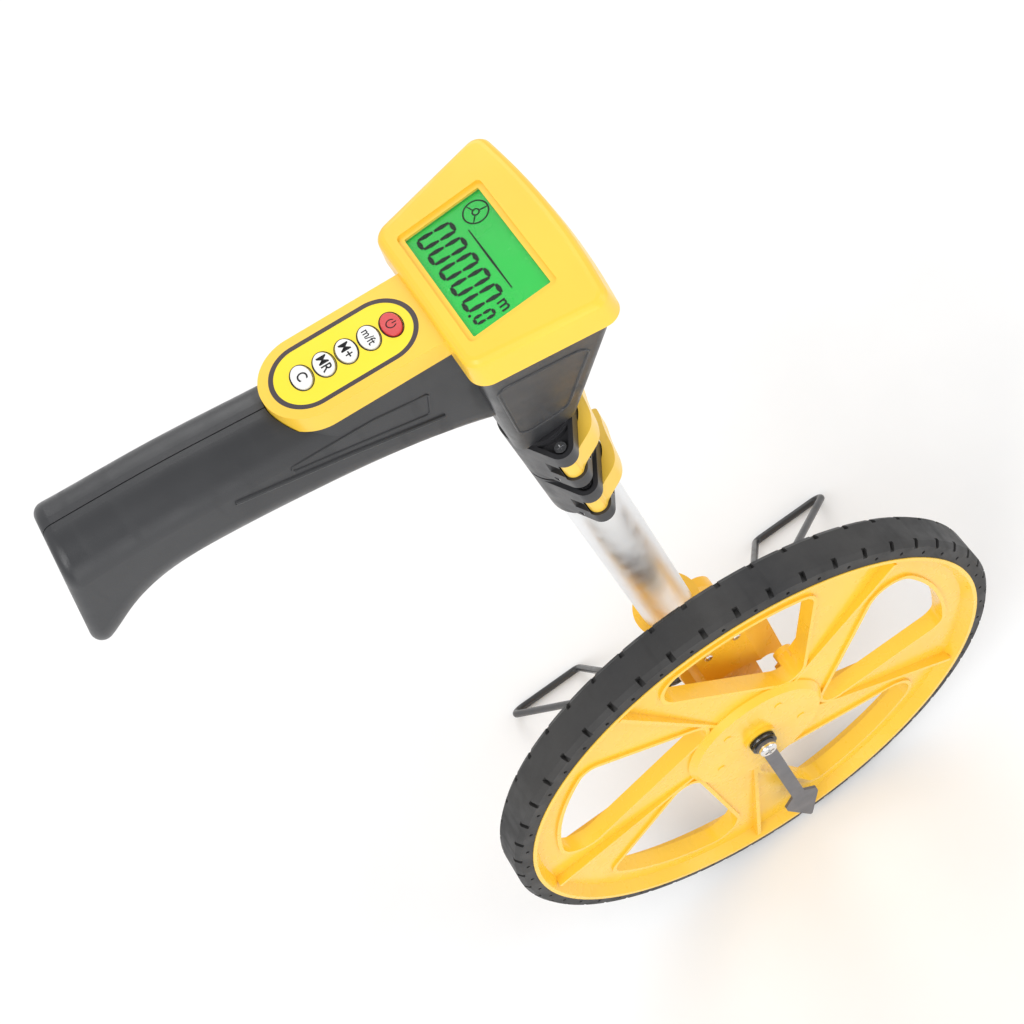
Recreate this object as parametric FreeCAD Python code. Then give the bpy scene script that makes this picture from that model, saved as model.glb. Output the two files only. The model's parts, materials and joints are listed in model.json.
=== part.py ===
import FreeCAD, Part
import math
import os

Vector = FreeCAD.Vector

os.makedirs("parts", exist_ok=True)

# A folding measuring wheel.  Millimetres.  The origin is on the ground under the axle, in the
# wheel's middle plane.  +X is the walking direction, +Y the user's left, +Z up along the pole.

# ---- wheel ---------------------------------------------------------------------------------
wheel_radius = 159.0          # rolls one metre a turn
tyre_width = 24.0
tyre_height = 9.5
tread_flat = 17.0             # width of the flat middle of the tread
tread_drop = 2.4              # how far the shoulder sits below the tread
tyre_tongue_width = 8.0
tyre_tongue_depth = 1.7
block_count = 50              # tread blocks round each shoulder
notch_width = 3.0
notch_depth = 3.4
rim_width = 25.0
rim_wall = 2.4                # at the lip
rim_root_wall = 6.5           # where the wall meets the web
web_front = -6.0              # y of the web's outboard face
web_back = -2.0
spoke_count = 5
opening_reach = 129.0         # radius of the openings' outer arc
opening_apex_x = 34.6         # apex of the first opening, from the axle
opening_apex_z = -27.5
opening_angle = 56.5
opening_lip = 2.4
lip_front = -7.4
lip_back = 2.6
spoke_rib_angle = -32.0
spoke_rib_thickness = 2.6
hub_pad_radius = 45.0
hub_pad_front = -10.6
hub_core_radius = 16.5
hub_core_back = 13.0
hub_boss_radius = 10.0
hub_boss_front = -13.0
pip_radius = 2.4              # small round marks on the pad
pip_ring_radius = 29.0
bearing_radius = 11.0
bearing_width = 7.0
magnet_ring_radius = 50.0
magnet_radius = 4.0
magnet_height = 5.0

# ---- axle and start pointer ----------------------------------------------------------------
axle_radius = 4.0
axle_gap = 0.05               # running fit of bearings on the axle
end_gap = 0.3                 # side play between the hub and what stands still
axle_inboard_end = 44.2
hub_washer_thickness = 1.3
hub_washer_radius = 8.2
lock_ring_thickness = 1.0
lock_ring_radius = 6.8
flange_washer_thickness = 1.1
flange_washer_radius = 8.0
pointer_thickness = 1.8
pointer_width = 8.6
pointer_head_width = 23.0
pointer_length = 147.0
pointer_neck = 99.0           # where the arrow head starts, below the axle
pointer_play = 0.1
axle_screw_radius = 5.6
axle_screw_height = 3.0
axle_screw_shank = 2.5

# ---- pole ----------------------------------------------------------------------------------
pole_y = 38.0
lower_tube_radius = 14.5
tube_wall = 1.2
tube_step_gap = 0.4           # free gap between one tube and the next
bush_gap = 0.05
bush_height = 12.0
lower_tube_bottom = 22.0      # heights from here on are above the axle
middle_tube_bottom = 32.0
upper_tube_bottom = 48.0
pole_travel = 200.0           # how far each section pulls out

# ---- flip-lock clamps ----------------------------------------------------------------------
clamp_height = 35.0
clamp_gap = 1.5
lower_clamp_z = 269.0
clamp_ring_wall = 2.0
clamp_pin_reach = 21.8        # pole axis to lever pin
clamp_nose_radius = 6.0
clamp_pin_radius = 1.5
lever_slot_low = 12.0
lever_slot_high = 25.0
lever_play = 0.3
lever_hub_radius = 4.7
recess_depth = 4.5
recess_rim = 2.2

# ---- fork bracket and kickstand ------------------------------------------------------------
bracket_wall = 3.4
bracket_top = 111.0
bracket_left = -17.0
bracket_right = 28.0
bracket_front = 24.0          # y of the block's outboard face
bracket_back = 57.0
bracket_bottom = -19.0
bracket_shoulder = 62.0       # top of the block beside the pole
collar_height = 8.0
collar_flare = 1.0
cover_left = -6.0
cover_right = 41.5
cover_front = 16.5
cover_back = 32.0
cover_bottom = -8.0
cover_top = 92.0
cover_fold = 26.0             # where the front starts to slant back
cover_slant = 8.0             # how far it slants back by the right-hand side
cover_shoulder = 64.0
cover_wall = 2.2
cover_arch_radius = 37.0
stand_wire_radius = 2.5
stand_pivot_y = 52.0
stand_pivot_z = -10.0
stand_foot_y = 167.0
stand_outer_left = -131.0
stand_inner_left = -73.0
stand_inner_right = 79.0
stand_outer_right = 137.0
stand_bend = 6.0

# ---- head, cover and handle ----------------------------------------------------------------
face_z = 446.0
cover_skirt_z = 433.0
head_near_x = -14.0
head_far_x = 46.0
head_bow = 6.0                # how far the far edge bows out in the middle
head_bow_radius = 320.0
head_near_half = 41.0
head_far_half = 52.0
edge_round = 3.6              # rounding of the cover's top edge
head_corner = 9.0
cover_shell = 2.4
neck_half = 15.5              # half the housing's size where it meets the clamp
housing_gap = 1.5
housing_wall = 2.5
neck_floor = 3.0
keypad_tilt = 8.0
keypad_half = 19.5
keypad_length = 68.0
keypad_drop = 4.5             # keypad face below the display face at the joint
keypad_rise = 9.0             # height of the keypad cover's side
lcd_near_x = -3.5
lcd_far_x = 31.0
lcd_half = 28.2
lcd_step = 1.2
lcd_frame_width = 2.3
label_inset = 4.2             # cover's edge to the printed ring
label_near = -2.0             # near end of the printed ring, from the head's edge
ring_width = 2.0
key_pitch = 9.75
first_key_x = -26.0
key_half_x = 3.9
key_half_y = 5.8
key_play = 0.3
key_travel = 0.8
key_proud = 0.7
battery_radius = 7.1
battery_length = 50.0
handle_lift = 7.0             # degrees that the grip rises to the rear
battery_floor = 401.5         # height of the line over which the cells lie, at the pole
battery_rise = 12.0           # the cells' centre line above it
seam_width = 0.5              # groove where the two halves meet
seam_depth = 0.6
butt_round = 5.0
butt_top_x = -171.0           # the slanted end face runs from here
butt_top_z = 474.0
butt_bottom_x = -192.0        # to here
butt_bottom_z = 410.0
door_near = 36.0              # along the grip from the head
door_far = 122.0
door_half = 10.0
door_thickness = 2.4
door_play = 0.35
screw_radius = 1.4
pole_screw_height = 94.0
cover_screw_places = ((2.0, 72.0, 5.6), (21.0, 74.0, 13.5))   # x, z and length of each

# ---- values worked out from the sizes above ------------------------------------------------
axle_z = wheel_radius
tyre_seat = wheel_radius - tyre_height
middle_tube_radius = lower_tube_radius - tube_wall - tube_step_gap
upper_tube_radius = middle_tube_radius - tube_wall - tube_step_gap
upper_clamp_z = lower_clamp_z + clamp_height + clamp_gap
neck_z = upper_clamp_z + clamp_height + housing_gap
clamp_ring_radius = lower_tube_radius + clamp_ring_wall
stack_start = hub_boss_front - end_gap
hub_washer_front = stack_start - hub_washer_thickness
lock_ring_front = hub_washer_front - lock_ring_thickness
flange_washer_front = lock_ring_front - flange_washer_thickness
pointer_back = flange_washer_front - pointer_play
pointer_front = pointer_back - pointer_thickness
axle_outboard_end = pointer_front - pointer_play


# ---- small helpers -------------------------------------------------------------------------
def at(x, y, z_above_axle):
    return Vector(x, y, z_above_axle + axle_z)


def box(x_low, x_high, y_low, y_high, z_low, z_high):
    return Part.makeBox(x_high - x_low, y_high - y_low, z_high - z_low, at(x_low, y_low, z_low))


def along_y(radius, y_low, y_high, x=0.0, z=0.0):
    return Part.makeCylinder(radius, y_high - y_low, at(x, y_low, z), Vector(0, 1, 0))


def along_z(radius, z_low, z_high, x=0.0, y=pole_y):
    return Part.makeCylinder(radius, z_high - z_low, at(x, y, z_low), Vector(0, 0, 1))


def along_x(radius, x_low, x_high, y, z):
    return Part.makeCylinder(radius, x_high - x_low, at(x_low, y, z), Vector(1, 0, 0))


def spun(profile):
    """A solid of revolution about the axle from (radius, y) corners."""
    points = [at(radius, y, 0) for radius, y in profile]
    face = Part.Face(Part.makePolygon(points + points[:1]))
    return face.revolve(at(0, 0, 0), Vector(0, 1, 0), 360)


def corner_wire(corners, place):
    """A closed outline with rounded corners: each corner is (u, v, radius)."""
    edges = []
    count = len(corners)
    arcs = []
    for index in range(count):
        before = Vector(corners[index - 1][0], corners[index - 1][1], 0)
        here = Vector(corners[index][0], corners[index][1], 0)
        after = Vector(corners[(index + 1) % count][0], corners[(index + 1) % count][1], 0)
        radius = corners[index][2]
        to_before = (before - here).normalize()
        to_after = (after - here).normalize()
        half_turn = to_before.getAngle(to_after) / 2
        cut = radius / math.tan(half_turn)
        middle = (to_before + to_after).normalize()
        centre = here + middle * (radius / math.sin(half_turn))
        arcs.append((here + to_before * cut, centre - middle * radius, here + to_after * cut))
    for index in range(count):
        start, bulge, end = [place(point.x, point.y) for point in arcs[index]]
        edges.append(Part.Arc(start, bulge, end).toShape())
        following = place(arcs[(index + 1) % count][0].x, arcs[(index + 1) % count][0].y)
        if (following - end).Length > 1e-6:
            edges.append(Part.LineSegment(end, following).toShape())
    return Part.Wire(edges)


def flat_plate(corners, z_low, z_high):
    wire = corner_wire(corners, lambda u, v: at(u, v, z_low))
    return Part.Face(wire).extrude(Vector(0, 0, z_high - z_low))


def upright_plate(corners, y_low, y_high):
    wire = corner_wire(corners, lambda u, v: at(u, y_low, v))
    return Part.Face(wire).extrude(Vector(0, y_high - y_low, 0))


def turned(shape, degrees):
    """Turned about the axle, from +X towards +Z."""
    copy = shape.copy()
    copy.rotate(at(0, 0, 0), Vector(0, -1, 0), degrees)
    return copy


def joined(shapes):
    return shapes[0].fuse(shapes[1:]).removeSplitter() if len(shapes) > 1 else shapes[0]


def group(shapes):
    return Part.makeCompound(shapes)


def edges_at(shape, test):
    return [edge for edge in shape.Edges if test(edge)]


def cross_recess(size, depth, x, y, z, direction):
    """The cross-shaped driver recess of a screw, sunk along the direction."""
    arm = size * 0.28
    bars = []
    for turn in (0, 90):
        bar = Part.makeBox(2 * size, arm, depth, Vector(-size, -arm / 2, 0))
        bar.rotate(Vector(0, 0, 0), Vector(0, 0, 1), turn)
        bars.append(bar)
    tool = bars[0].fuse(bars[1])
    tool.Placement = FreeCAD.Placement(at(x, y, z), FreeCAD.Rotation(Vector(0, 0, 1), direction))
    return tool


def pan_screw(head_radius, head_height, shank_radius, shank_length, x, y, z, direction):
    """A pan-head screw whose head sits on (x, y, z) and whose shank runs along the direction."""
    head = Part.makeCylinder(head_radius, head_height, Vector(0, 0, -head_height), Vector(0, 0, 1))
    rim = edges_at(head, lambda edge: edge.Curve.TypeId == "Part::GeomCircle"
                   and edge.CenterOfMass.z < -head_height / 2)
    head = head.makeFillet(head_height * 0.6, rim)
    shank = Part.makeCylinder(shank_radius, shank_length, Vector(0, 0, 0), Vector(0, 0, 1))
    arm = head_radius * 0.24
    for turn in (0, 90):
        bar = Part.makeBox(head_radius * 1.1, arm, head_height * 0.6,
                           Vector(-head_radius * 0.55, -arm / 2, -head_height * 1.05))
        bar.rotate(Vector(0, 0, 0), Vector(0, 0, 1), turn)
        head = head.cut(bar)
    screw = head.fuse(shank)
    screw.Placement = FreeCAD.Placement(at(x, y, z), FreeCAD.Rotation(Vector(0, 0, 1), direction))
    return screw


# ---- wheel ---------------------------------------------------------------------------------
def tyre():
    half = tyre_width / 2
    flat = tread_flat / 2
    tongue = tyre_tongue_width / 2
    shoulder = wheel_radius - tread_drop
    body = spun([(tyre_seat, -half), (shoulder, -half + 0.8), (wheel_radius, -flat),
                 (wheel_radius, flat), (shoulder, half - 0.8), (tyre_seat, half),
                 (tyre_seat, tongue), (tyre_seat - tyre_tongue_depth, tongue),
                 (tyre_seat - tyre_tongue_depth, -tongue), (tyre_seat, -tongue)])
    cutters = []
    for index in range(block_count):
        angle = index * 360.0 / block_count + 1.5
        for side in (-1, 1):
            y_low, y_high = sorted((side * (flat - 1.6), side * (half + 1)))
            notch = box(wheel_radius - notch_depth, wheel_radius + 1, y_low, y_high,
                        -notch_width / 2, notch_width / 2)
            y_low, y_high = sorted((side * (half - 1.6), side * (half + 1)))
            pit = along_y(1.1, y_low, y_high, tyre_seat + 3.2, 0)
            cutters.append(turned(notch, angle))
            cutters.append(turned(pit, angle + 180.0 / block_count))
    return body.cut(cutters)


def opening(grow, y_low, y_high):
    """The first spoke opening, grown all round by the given amount."""
    half_angle = math.radians(opening_angle / 2)
    back = grow / math.sin(half_angle)
    apex_x = opening_apex_x - back * math.cos(half_angle)
    apex_z = opening_apex_z - back * math.sin(half_angle)
    reach = 2 * opening_reach
    slope = math.radians(opening_angle)
    points = [at(apex_x, y_low, apex_z), at(apex_x + reach, y_low, apex_z),
              at(apex_x + reach * math.cos(slope), y_low, apex_z + reach * math.sin(slope))]
    wedge = Part.Face(Part.makePolygon(points + points[:1])).extrude(Vector(0, y_high - y_low, 0))
    slice_ = wedge.common(along_y(opening_reach + grow, y_low, y_high))
    corners = edges_at(slice_, lambda edge: abs(edge.tangentAt(edge.FirstParameter).y) > 0.99
                       and abs(edge.Length - (y_high - y_low)) < 0.01)
    for edge in corners:
        place = edge.CenterOfMass
        out = math.hypot(place.x, place.z - axle_z)
        if out < opening_reach / 2:
            slice_ = refillet(slice_, place, 10.0 + grow)
        elif place.z > axle_z:
            slice_ = refillet(slice_, place, 15.0 + grow)
        else:
            slice_ = refillet(slice_, place, 9.0 + grow)
    return slice_


def refillet(shape, place, radius):
    near = [edge for edge in shape.Edges if (edge.CenterOfMass - place).Length < 0.01]
    return shape.makeFillet(radius, near[:1])


def wheel_rim():
    half = rim_width / 2
    tongue = tyre_tongue_width / 2
    lip_inner = tyre_seat - rim_wall
    root = tyre_seat - rim_root_wall
    ring = spun([(tyre_seat, -half), (lip_inner, -half), (root, web_front), (root, web_back),
                 (lip_inner, half), (tyre_seat, half), (tyre_seat, tongue),
                 (tyre_seat - tyre_tongue_depth, tongue), (tyre_seat - tyre_tongue_depth, -tongue),
                 (tyre_seat, -tongue)])
    web = along_y(root + 1, web_front, web_back)
    pad = spun([(0, hub_pad_front), (hub_pad_radius - 3.5, hub_pad_front),
                (hub_pad_radius, web_front - 1), (hub_pad_radius, web_back + 3), (0, web_back + 3)])
    core = along_y(hub_core_radius, hub_pad_front, hub_core_back)
    boss = along_y(hub_boss_radius, hub_boss_front, hub_pad_front)
    pips = [turned(along_y(pip_radius, hub_pad_front - 0.5, hub_pad_front, pip_ring_radius),
                   360.0 / spoke_count * index + 50.0) for index in range(spoke_count)]
    body = joined([ring, web, pad, core, boss] + pips)
    lips = []
    holes = []
    ribs = []
    rib_out = root + 1
    rib_half = spoke_rib_thickness / 2
    for index in range(spoke_count):
        turn = index * 360.0 / spoke_count
        lips.append(turned(opening(opening_lip, lip_front, lip_back), turn))
        holes.append(turned(opening(0, lip_front - 5, lip_back + 5), turn))
        for front, back in (((-6.8, -11.6), (web_front + 1, web_front + 1)),
                            ((web_back - 1, web_back - 1), (8.0, 10.5))):
            points = [at(40, front[0], -rib_half), at(rib_out, front[1], -rib_half),
                      at(rib_out, back[1], -rib_half), at(40, back[0], -rib_half)]
            rib = Part.Face(Part.makePolygon(points + points[:1]))
            rib = rib.extrude(Vector(0, 0, spoke_rib_thickness))
            ribs.append(turned(rib, spoke_rib_angle + turn))
    body = body.fuse(lips + ribs)
    magnet_posts = [turned(along_y(magnet_radius + 2, web_back - 1, hub_core_back - 2,
                                   magnet_ring_radius), magnet_angle(index))
                    for index in range(spoke_count)]
    body = body.fuse(magnet_posts)
    body = body.cut(holes)
    pockets = [magnet_at(index, 0.0) for index in range(spoke_count)]
    bearing_seat = along_y(bearing_radius, hub_pad_front + 1.5, hub_core_back + 1)
    axle_hole = along_y(axle_radius + 1.2, hub_boss_front - 1, hub_pad_front + 2)
    body = body.cut(pockets + [bearing_seat, axle_hole])
    return body.removeSplitter()


def magnet_angle(index):
    """Each magnet stands on a spoke, clear of the openings."""
    return spoke_rib_angle + 360.0 / spoke_count * index


def magnet_at(index, gap):
    top = hub_core_back - 2
    magnet = along_y(magnet_radius - gap, top - magnet_height, top, magnet_ring_radius)
    return turned(magnet, magnet_angle(index))


def sensor_magnets():
    return group([magnet_at(index, 0.05) for index in range(spoke_count)])


def bearing(y_low):
    y_high = y_low + bearing_width
    groove_in = bearing_radius - 2.4
    groove_out = axle_radius + 2.0
    ring = spun([(axle_radius + axle_gap, y_low), (groove_out, y_low), (groove_out, y_low + 0.5),
                 (groove_in, y_low + 0.5), (groove_in, y_low), (bearing_radius, y_low),
                 (bearing_radius, y_high), (groove_in, y_high), (groove_in, y_high - 0.5),
                 (groove_out, y_high - 0.5), (groove_out, y_high),
                 (axle_radius + axle_gap, y_high)])
    return ring


def outboard_bearing():
    return bearing(hub_pad_front + 1.5)


def inboard_bearing():
    return bearing(hub_core_back - bearing_width)


def bearing_spacer():
    y_low = hub_pad_front + 1.5 + bearing_width
    y_high = hub_core_back - bearing_width
    return along_y(axle_radius + 2.0, y_low, y_high).cut(
        along_y(axle_radius + axle_gap, y_low - 1, y_high + 1))


# ---- axle stack ----------------------------------------------------------------------------
def washer(radius, y_low, y_high, bore):
    return along_y(radius, y_low, y_high).cut(along_y(bore, y_low - 1, y_high + 1))


def axle():
    shaft = along_y(axle_radius, axle_outboard_end, axle_inboard_end)
    return shaft.cut(along_y(axle_screw_shank, axle_outboard_end - 1, axle_outboard_end + 14))


def axle_bush():
    y_low = hub_core_back + end_gap
    return washer(axle_radius + 3, y_low, bracket_front, axle_radius)


def nut_washer():
    return washer(axle_radius + 4.4, 37.0, 38.2, axle_radius)


def axle_nut():
    corners = []
    for index in range(6):
        angle = math.radians(60 * index)
        corners.append(at(7.5 * math.cos(angle), 38.2, 7.5 * math.sin(angle)))
    nut = Part.Face(Part.makePolygon(corners + corners[:1])).extrude(Vector(0, 6.0, 0))
    return nut.cut(along_y(axle_radius, 37, 46))


def hub_washer():
    return washer(hub_washer_radius, hub_washer_front, stack_start, axle_radius)


def lock_ring():
    return washer(lock_ring_radius, lock_ring_front, hub_washer_front, axle_radius)


def flange_washer():
    return washer(flange_washer_radius, flange_washer_front, lock_ring_front, axle_radius)


def axle_screw():
    return pan_screw(axle_screw_radius, axle_screw_height, axle_screw_shank, 13.0,
                     0, axle_outboard_end, 0, Vector(0, 1, 0))


def start_pointer():
    half = pointer_width / 2
    head = pointer_head_width / 2
    barb = pointer_neck + 9.0
    outline = [(-half, 0, 0.01), (-half, -pointer_neck, 1.0), (-head, -barb, 1.0),
               (-head, -barb - 6, 1.2), (0, -pointer_length, 1.0), (head, -barb - 6, 1.2),
               (head, -barb, 1.0), (half, -pointer_neck, 1.0), (half, 0, 0.01)]
    blade = upright_plate(outline, pointer_front, pointer_back)
    eye = along_y(6.2, pointer_front, pointer_back)
    return blade.fuse(eye).cut(along_y(axle_radius + 0.06, pointer_front - 1, pointer_back + 1))


# ---- pole ----------------------------------------------------------------------------------
def pole_tube(radius, z_low, z_high):
    return along_z(radius, z_low, z_high).cut(along_z(radius - tube_wall, z_low - 1, z_high + 1))


def lower_tube():
    tube = pole_tube(lower_tube_radius, lower_tube_bottom, lower_clamp_z + 24)
    return tube.cut(along_y(screw_radius, pole_y, pole_y + 20, 0, pole_screw_height))


def middle_tube():
    return pole_tube(middle_tube_radius, middle_tube_bottom, upper_clamp_z + 24)


def upper_tube():
    return pole_tube(upper_tube_radius, upper_tube_bottom, neck_z + 56)


def guide_bush(outer_radius, inner_radius, z_low):
    bush = along_z(outer_radius - bush_gap, z_low - 2, z_low + bush_height)
    bush = bush.cut(along_z(inner_radius, z_low, z_low + bush_height + 1))
    return bush.cut(along_z(inner_radius - tube_wall - 1, z_low - 3, z_low + 1))


def middle_bush():
    return guide_bush(lower_tube_radius - tube_wall, middle_tube_radius, middle_tube_bottom)


def upper_bush():
    return guide_bush(middle_tube_radius - tube_wall, upper_tube_radius, upper_tube_bottom)


# ---- clamps --------------------------------------------------------------------------------
def nose_outline(shrink):
    """Plan outline of the clamp: the ring's circle run out to a rounded nose."""
    ring = clamp_ring_radius - shrink
    tip = clamp_nose_radius - shrink
    lean = math.acos((ring - tip) / clamp_pin_reach)
    ring_x = ring * math.sin(lean)
    ring_y = pole_y - ring * math.cos(lean)
    tip_x = tip * math.sin(lean)
    tip_y = pole_y - clamp_pin_reach - tip * math.cos(lean)
    return ring_x, ring_y, tip_x, tip_y


def nose_plate(shrink, z_low, z_high):
    ring_x, ring_y, tip_x, tip_y = nose_outline(shrink)
    tip_end = pole_y - clamp_pin_reach - clamp_nose_radius + shrink
    edges = [Part.LineSegment(at(ring_x, ring_y, z_low), at(tip_x, tip_y, z_low)).toShape(),
             Part.Arc(at(tip_x, tip_y, z_low), at(0, tip_end, z_low),
                      at(-tip_x, tip_y, z_low)).toShape(),
             Part.LineSegment(at(-tip_x, tip_y, z_low), at(-ring_x, ring_y, z_low)).toShape(),
             Part.LineSegment(at(-ring_x, ring_y, z_low), at(ring_x, ring_y, z_low)).toShape()]
    return Part.Face(Part.Wire(edges)).extrude(Vector(0, 0, z_high - z_low))


def clamp(z_low, holds_radius, grips_radius):
    """A flip-lock collar: it sits on the end of one tube and grips the next one."""
    z_high = z_low + clamp_height
    ring = along_z(clamp_ring_radius, z_low, z_high)
    nose = nose_plate(0, z_low + 4.5, z_high - 2)
    body = ring.fuse(nose)
    slot_low = z_low + lever_slot_low
    slot_high = z_low + lever_slot_high
    slot = box(-lever_hub_radius - 0.7, clamp_ring_radius + 4, pole_y - 40,
               pole_y - clamp_ring_radius - 0.3, slot_low, slot_high)
    side = box(lever_hub_radius - 1, clamp_ring_radius + 4, pole_y - clamp_ring_radius - 1,
               pole_y, slot_low, slot_high)
    side = side.cut(along_z(clamp_ring_radius, slot_low - 1, slot_high + 1))
    window = box(-20, 0, pole_y - clamp_pin_reach - 2.5, pole_y - clamp_ring_radius - 1.2,
                 slot_low + 2, slot_high - 2.5)
    recess = nose_plate(recess_rim, z_high - recess_depth, z_high)
    recess = recess.cut(along_z(clamp_ring_radius + 0.5, z_high - recess_depth - 1, z_high + 1))
    pin_hole = along_z(clamp_pin_radius, z_low + 6, z_high, 0, pole_y - clamp_pin_reach)
    body = body.cut([slot, side, window, recess, pin_hole])
    step = z_low + 24
    bores = [along_z(holds_radius, z_low - 1, step),
             along_z(grips_radius + 0.35, step - 1, z_high + 1)]
    body = body.cut(bores)
    bolt_hole = along_x(screw_radius, -clamp_ring_radius - 2, clamp_ring_radius + 2,
                        pole_y - clamp_pin_reach + 3.2, z_low + 7.5)
    return body.cut(bolt_hole).removeSplitter()


def clamp_pin(z_low):
    y = pole_y - clamp_pin_reach
    pin = along_z(clamp_pin_radius, z_low + 6, z_low + clamp_height - recess_depth, 0, y)
    head = along_z(2.7, z_low + clamp_height - recess_depth,
                   z_low + clamp_height - recess_depth + 1.8, 0, y)
    top = z_low + clamp_height - recess_depth + 1.8
    slot = cross_recess(1.5, 1.0, 0, y, top, Vector(0, 0, -1))
    return pin.fuse(head).cut(slot)


def clamp_bolt(z_low):
    y = pole_y - clamp_pin_reach + 3.2
    ring_x, ring_y, tip_x, tip_y = nose_outline(0)
    reach = tip_x + (ring_x - tip_x) * (y - tip_y) / (ring_y - tip_y)
    return along_x(screw_radius, -reach + 0.6, reach - 0.6, y, z_low + 7.5)


def lever(z_low):
    """The cam lever: its hub turns on the pin and its arm wraps round the collar."""
    low = z_low + lever_slot_low + lever_play
    high = z_low + lever_slot_high - lever_play
    pin_y = pole_y - clamp_pin_reach
    near = clamp_ring_radius + 0.5
    arm = 5.4
    outline = []
    for angle, reach in ((-64, 1.6), (-48, 1.9), (-30, 0.6), (-12, -0.6), (4, 0.2), (17, 2.8),
                         (25, 4.8)):
        radius = near + arm + reach - 0.8
        outline.append((radius * math.cos(math.radians(angle)),
                        pole_y + radius * math.sin(math.radians(angle))))
    inner = []
    for angle, reach in ((23, 4.4), (12, 1.6), (0, 0.1), (-20, 0.0), (-45, 0.0), (-60, 0.2)):
        radius = near + reach
        inner.append((radius * math.cos(math.radians(angle)),
                      pole_y + radius * math.sin(math.radians(angle))))
    outer_curve = [Vector(2.0, pin_y - lever_hub_radius + 0.2, 0)]
    outer_curve += [Vector(x, y, 0) for x, y in outline]
    inner_curve = [Vector(x, y, 0) for x, y in inner]
    inner_curve.append(Vector(2.0, pole_y - clamp_ring_radius - 0.55, 0))
    lift = Vector(0, 0, low + axle_z)
    outside = Part.BSplineCurve()
    outside.interpolate([point + lift for point in outer_curve])
    inside = Part.BSplineCurve()
    inside.interpolate([point + lift for point in inner_curve])
    tip_mid = (outer_curve[-1] + inner_curve[0]) * 0.5
    tip_out = (outer_curve[-1] - inner_curve[0])
    tip_point = tip_mid + Vector(-tip_out.y, tip_out.x, 0) * 0.5
    tip = Part.Arc(outer_curve[-1] + lift, tip_point + lift, inner_curve[0] + lift)
    heel = Part.LineSegment(inner_curve[-1] + lift, outer_curve[0] + lift)
    wire = Part.Wire([outside.toShape(), tip.toShape(), inside.toShape(), heel.toShape()])
    blade = Part.Face(wire).extrude(Vector(0, 0, high - low))
    hub = along_z(lever_hub_radius, low, high, 0, pin_y)
    body = blade.fuse(hub).cut(along_z(clamp_pin_radius + 0.05, low - 1, high + 1, 0, pin_y))
    return body


# ---- bracket and kickstand -----------------------------------------------------------------
def fork_bracket():
    sleeve_radius = lower_tube_radius + bracket_wall
    sleeve = along_z(sleeve_radius, bracket_bottom + 40, bracket_top)
    collar = Part.makeCone(sleeve_radius, sleeve_radius + collar_flare, collar_height,
                           at(0, pole_y, bracket_top - collar_height), Vector(0, 0, 1))
    block = upright_plate([(bracket_left, bracket_bottom, 10), (24, bracket_bottom, 12),
                           (24, bracket_shoulder, 10), (bracket_left, bracket_shoulder, 10)],
                          bracket_front, bracket_back)
    arm = upright_plate([(0, bracket_bottom, 6), (bracket_right, bracket_bottom, 6),
                         (bracket_right, bracket_shoulder + 18, 12), (0, bracket_shoulder + 18, 12)],
                        bracket_back - 16, bracket_back)
    wing_right = cover_right - cover_wall - 0.2
    wing = upright_plate([(4, cover_arch_radius + 3, 2), (wing_right, cover_arch_radius - 18, 2),
                          (wing_right, cover_shoulder - 4, 2), (18, cover_top - 6, 3), (4, cover_top - 6, 1)],
                         cover_back - 4, bracket_back - 8)
    boss = along_y(4.6, pole_y + lower_tube_radius + 1, pole_screw_seat(), 0, pole_screw_height)
    back_wall = box(20, wing_right - 0.3, bracket_back - 17, bracket_back - 13, stand_pivot_z,
                    cover_arch_radius + 5)
    body = joined([sleeve, collar, block, arm, wing, boss, back_wall])
    tube_hole = along_z(lower_tube_radius, lower_tube_bottom, bracket_top + 1)
    axle_hole = along_y(axle_radius, bracket_front - 1, 37.5)
    nut_pocket = along_y(9.2, 37.0, bracket_back - 12.5)
    stand_hole = along_x(stand_wire_radius + 0.06, bracket_left - 30, bracket_right + 30,
                         stand_pivot_y, stand_pivot_z)
    screw_hole = along_y(screw_radius, pole_y, pole_screw_seat() + 1, 0, pole_screw_height)
    board_space = box(7, 36, bracket_front - 1, cover_back + 1, 43, 71)
    hollow = box(21, wing_right - 3, cover_back - 1, bracket_back - 18, 26, 58)
    pilots = [along_y(1.2, cover_front, cover_front + length, x, z)
              for x, z, length in cover_screw_places]
    holes = [tube_hole, axle_hole, nut_pocket, stand_hole, screw_hole, board_space, hollow]
    return body.cut(holes + pilots)


def pole_screw_seat():
    return pole_y + lower_tube_radius + bracket_wall + 1.4


def pole_screw():
    length = pole_screw_seat() - pole_y - lower_tube_radius + 0.8
    return pan_screw(3.6, 2.2, screw_radius, length, 0, pole_screw_seat(), pole_screw_height,
                     Vector(0, -1, 0))


def cover_form(shrink):
    """The hood's outer or inner form: a plan outline crossed with a front outline."""
    left = cover_left + shrink
    right = cover_right - shrink
    front = cover_front + shrink
    back = cover_back + (2.0 if shrink else 0.0)
    top = cover_top - shrink
    low = cover_bottom - (2.0 if shrink else 0.0)
    plan = [at(left, front, low), at(cover_fold, front, low), at(right, front + cover_slant, low),
            at(right, back, low), at(left, back, low)]
    upright = Part.Face(Part.makePolygon(plan + plan[:1])).extrude(Vector(0, 0, top - low))
    face = [at(left, front, low), at(right, front, low), at(right, front, cover_shoulder - shrink),
            at(22.0 - shrink / 2, front, top), at(left, front, top)]
    through = Part.Face(Part.makePolygon(face + face[:1])).extrude(Vector(0, back - front, 0))
    return upright.common(through)


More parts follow.
